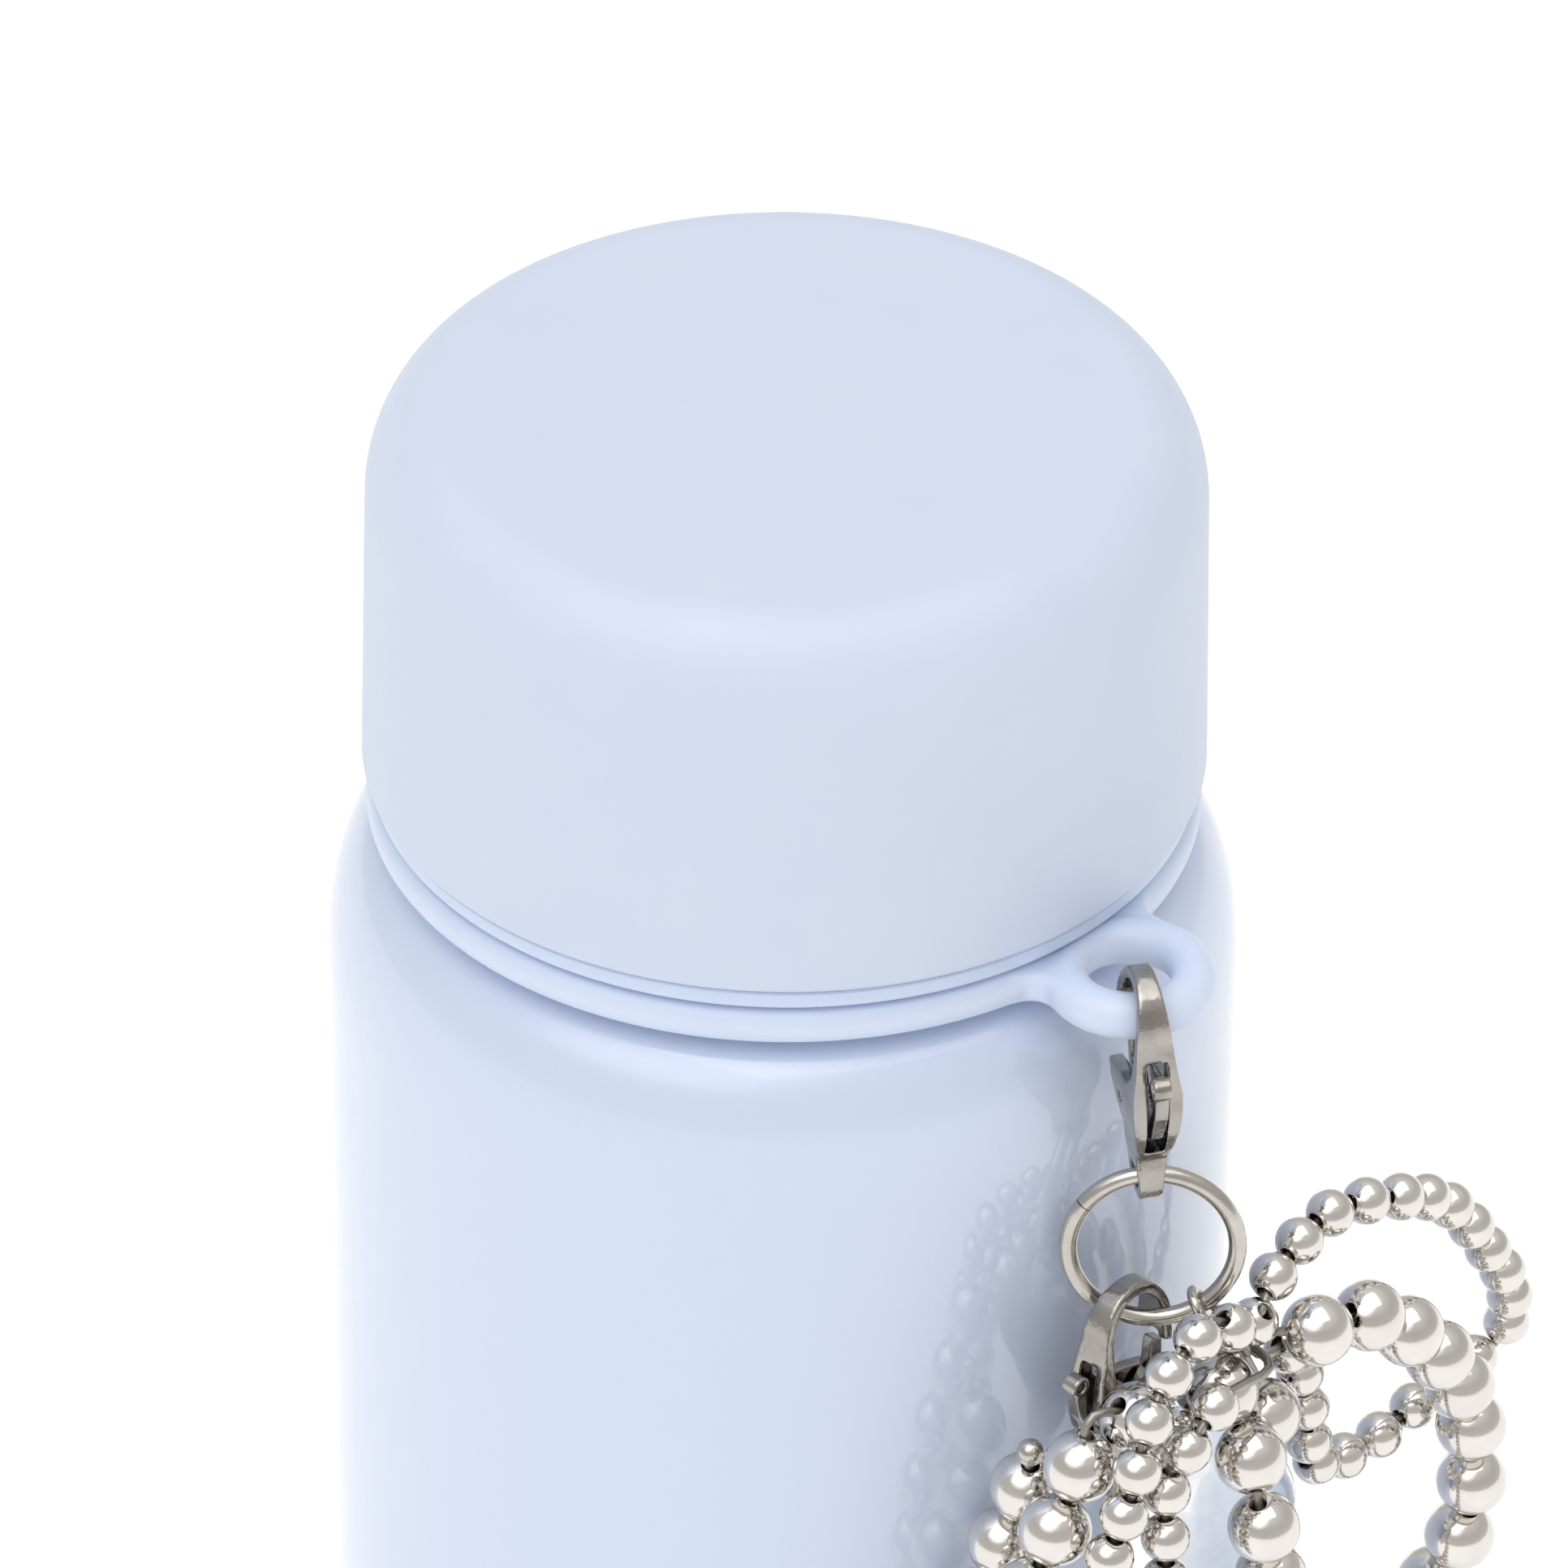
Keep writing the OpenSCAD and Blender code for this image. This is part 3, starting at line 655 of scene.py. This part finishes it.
def add_inner():
    neck = NECK_R - 1.2
    flask_r = BODY_R - 3.3
    a = flask_r - neck - 0.3
    top = SHOULDER_TOP - 2.6
    wall = FLASK_WALL
    outside = curve(flask_r - a, top - SHOULDER_B, a, SHOULDER_B, 0, 90, SHOULDER_POWER, 32)
    inside = curve(flask_r - a - wall, top - SHOULDER_B - wall, a, SHOULDER_B, 0, 90,
                   SHOULDER_POWER, 32)
    low = 10.0
    profile = [(0, low)] + curve(flask_r - 8, low + 8, 8, 8, -90, 0) + outside
    profile += [(neck, top), (neck, RIM_Z - 0.8), (NECK_R, RIM_Z - 0.8), (NECK_R, RIM_Z - 0.3),
                (NECK_R - 0.1, RIM_Z - 0.1), (NECK_R - 0.3, RIM_Z), (neck - 0.3, RIM_Z),
                (neck - 0.5, RIM_Z - 0.2)]
    profile += inside[::-1] + curve(flask_r - 8, low + 8, 8 - wall, 8 - wall, 0, -90)
    profile.append((0, low + wall))
    verts, faces = lathe(profile)
    piece("flask_skin", verts, faces, INNER, "bottle", ["inner_flask"], 30.0)

    b = BORE_R - 0.05
    ring = [(25.05, RIM_Z + 0.25), (25.3, RIM_Z), (b - 0.25, RIM_Z), (b, RIM_Z + 0.25),
            (b, RIM_Z + 1.7), (b - 0.25, RIM_Z + 1.95), (25.3, RIM_Z + 1.95),
            (25.05, RIM_Z + 1.7)]
    verts, faces = lathe(ring)
    piece("gasket_ring", verts, faces, GASKET, "gasket", ["cap_gasket"], 50.0)


add_bottle()
add_cap()
add_inner()
for name, mat in (("base_plate", INNER), ("vacuum_seal", SOLDER), ("getter", BARE),
                  ("cap_foam", FOAM), ("clasp_a_pin", CLASP), ("clasp_b_pin", CLASP),
                  ("clasp_a_spring", WIRE), ("clasp_b_spring", WIRE)):
    paint(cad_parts[name], mat)

# ---------- collar, clasps, ring ----------

refined("collar_skin", "strap_collar", 0.25, 14, SILICONE, "collar")
refined("clasp_a_cast", "clasp_a_body", 0.1, 40, CLASP, "clasp_a")
refined("clasp_b_cast", "clasp_b_body", 0.1, 40, CLASP, "tassel")
refined("lever_a_cast", "clasp_a_lever", 0.08, 22, CLASP, "lever_a")
refined("lever_b_cast", "clasp_b_lever", 0.08, 22, CLASP, "lever_b")
refined("drop_glass", "pendant_drop", 0.3, 12, GLASS, "tassel")


def add_ring():
    """The jump ring is one turn of wire whose two cut ends meet at the upper left."""
    gap = 0.35
    points = []
    for i in range(193):
        points.append(ring_point(-125 + gap + (360 - 2 * gap) * i / 192))
    verts, faces = sweep(points, RING_WIRE_R, 24)
    piece("ring_wire", verts, faces, RING, "ring", ["jump_ring"], 50.0)


def add_link():
    """A long narrow wire loop from the jump ring down to the crimp."""
    top = ring_point(LINK_SPOT)
    axis = GATHER - top
    length = axis.length
    y = axis.normalized()
    spot = math.radians(LINK_SPOT)
    wire = Vector((math.cos(spot), 0, math.sin(spot)))
    n = (wire - y * wire.dot(y)).normalized()
    x = n.cross(y)
    w = LINK_HALF_WIDTH
    low, high = 0.1, length - w
    points = []
    for i in range(25):
        a = math.pi + math.pi * i / 24
        points.append(top + x * (w * math.cos(a)) + y * (low + w * math.sin(a)))
    for i in range(25):
        a = math.pi * i / 24
        points.append(top + x * (w * math.cos(a)) + y * (high + w * math.sin(a)))
    verts, faces = sweep(points, LINK_WIRE_R, 20, True)
    piece("link_wire", verts, faces, RING, "tassel", ["gather_link"], 60.0)
    crimp("gather_stop", GATHER, CRIMP_R, axis, "gather_crimp")


def add_pendant():
    base = DROP_C + Vector((0, 0, DROP_TOP))
    cap = [(0, 0), (2.3, 0), (2.4, 0.1), (2.36, 0.3), (2.1, 0.5), (1.9, 0.9), (1.5, 1.3),
           (1.1, 1.6), (1.0, 2.0), (0, 2.0)]
    verts, faces = lathe(cap, 64, Matrix.Translation(base))
    piece("drop_cap", verts, faces, RING, "tassel", ["pendant_cap"], 50.0)
    foot = base + Vector((0, 0, 2.0))
    way = GATHER - foot
    reach = way.length - CRIMP_R
    d = way.normalized()
    points = [foot + d * (reach * i / 24) for i in range(25)]
    verts, faces = sweep(points, PIN_R, 16)
    piece("drop_pin", verts, faces, WIRE, "tassel", ["pendant_pin"], 50.0)


add_ring()
add_link()
add_pendant()

# ---------- floor, world and lights ----------

def add_floor():
    me = bpy.data.meshes.new("floor")
    s = 4.0
    me.from_pydata([(-s, -s, 0), (s, -s, 0), (s, s, 0), (-s, s, 0)], [], [(0, 1, 2, 3)])
    ob = bpy.data.objects.new("floor", me)
    bpy.context.scene.collection.objects.link(ob)
    p = Paint("floor_white", linear(250, 250, 250), 0.9, Emission_Strength=0.2)
    p.shader.inputs["Emission Color"].default_value = (1, 1, 1, 1)
    p.bump(p.noise(300.0), 0.5)
    paint(ob, p.mat)


def add_light(name, place, aim, size, power, color=(1, 1, 1)):
    data = bpy.data.lights.new(name, "AREA")
    data.shape = "RECTANGLE"
    data.size, data.size_y = size
    data.energy = power
    data.color = color
    ob = bpy.data.objects.new(name, data)
    bpy.context.scene.collection.objects.link(ob)
    ob.location = place
    ob.rotation_euler = (Vector(aim) - Vector(place)).to_track_quat("-Z", "Y").to_euler()


SOFT_BOX_FROM = (-0.34, -0.5, 1.0)
SOFT_BOX_LIGHT = 1.25
SOFT_BOX_EDGE = (0.8, 0.995)
WORLD_STRENGTH = 0.76
# brightness of the surroundings from straight below (0) to straight above (1)
SKY = [(0.0, (1.0, 1.0, 1.0, 1)), (0.48, (0.9, 0.9, 0.9, 1)), (0.56, (0.78, 0.77, 0.76, 1)),
       (0.72, (0.74, 0.72, 0.70, 1)), (0.84, (0.88, 0.87, 0.85, 1)), (1.0, (1.12, 1.12, 1.12, 1))]


def add_world():
    world = bpy.data.worlds.new("studio")
    bpy.context.scene.world = world
    world.use_nodes = True
    tree = world.node_tree
    back = tree.nodes["Background"]
    coords = tree.nodes.new("ShaderNodeTexCoord")
    split = tree.nodes.new("ShaderNodeSeparateXYZ")
    ramp = tree.nodes.new("ShaderNodeValToRGB")
    tree.links.new(coords.outputs["Generated"], split.inputs[0])
    height = tree.nodes.new("ShaderNodeMapRange")
    height.inputs["From Min"].default_value = -1.0
    tree.links.new(split.outputs["Z"], height.inputs["Value"])
    tree.links.new(height.outputs["Result"], ramp.inputs[0])
    # a large soft box above the front left, with a feathered edge
    box = tree.nodes.new("ShaderNodeVectorMath")
    box.operation = "DOT_PRODUCT"
    box.inputs[1].default_value = Vector(SOFT_BOX_FROM).normalized()
    tree.links.new(coords.outputs["Generated"], box.inputs[0])
    edge = tree.nodes.new("ShaderNodeMapRange")
    edge.interpolation_type = "SMOOTHSTEP"
    edge.inputs["From Min"].default_value = SOFT_BOX_EDGE[0]
    edge.inputs["From Max"].default_value = SOFT_BOX_EDGE[1]
    edge.inputs["To Max"].default_value = SOFT_BOX_LIGHT
    tree.links.new(box.outputs["Value"], edge.inputs["Value"])
    both = tree.nodes.new("ShaderNodeVectorMath")
    tree.links.new(ramp.outputs[0], both.inputs[0])
    tree.links.new(edge.outputs["Result"], both.inputs[1])
    tree.links.new(both.outputs["Vector"], back.inputs["Color"])
    ramp.color_ramp.elements[0].color = SKY[0][1]
    ramp.color_ramp.elements[1].color = SKY[-1][1]
    for at, color in SKY[1:-1]:
        ramp.color_ramp.elements.new(at).color = color
    back.inputs["Strength"].default_value = WORLD_STRENGTH


add_floor()
add_world()
add_light("key", (-0.4, -0.5, 1.0), (0, 0, 0.12), (0.9, 0.7), 0.6)
add_light("top", (0.1, -0.15, 1.3), (0, 0, 0.12), (1.1, 1.1), 3.1)
bpy.context.scene.view_settings.view_transform = "Standard"

bpy.context.view_layer.update()
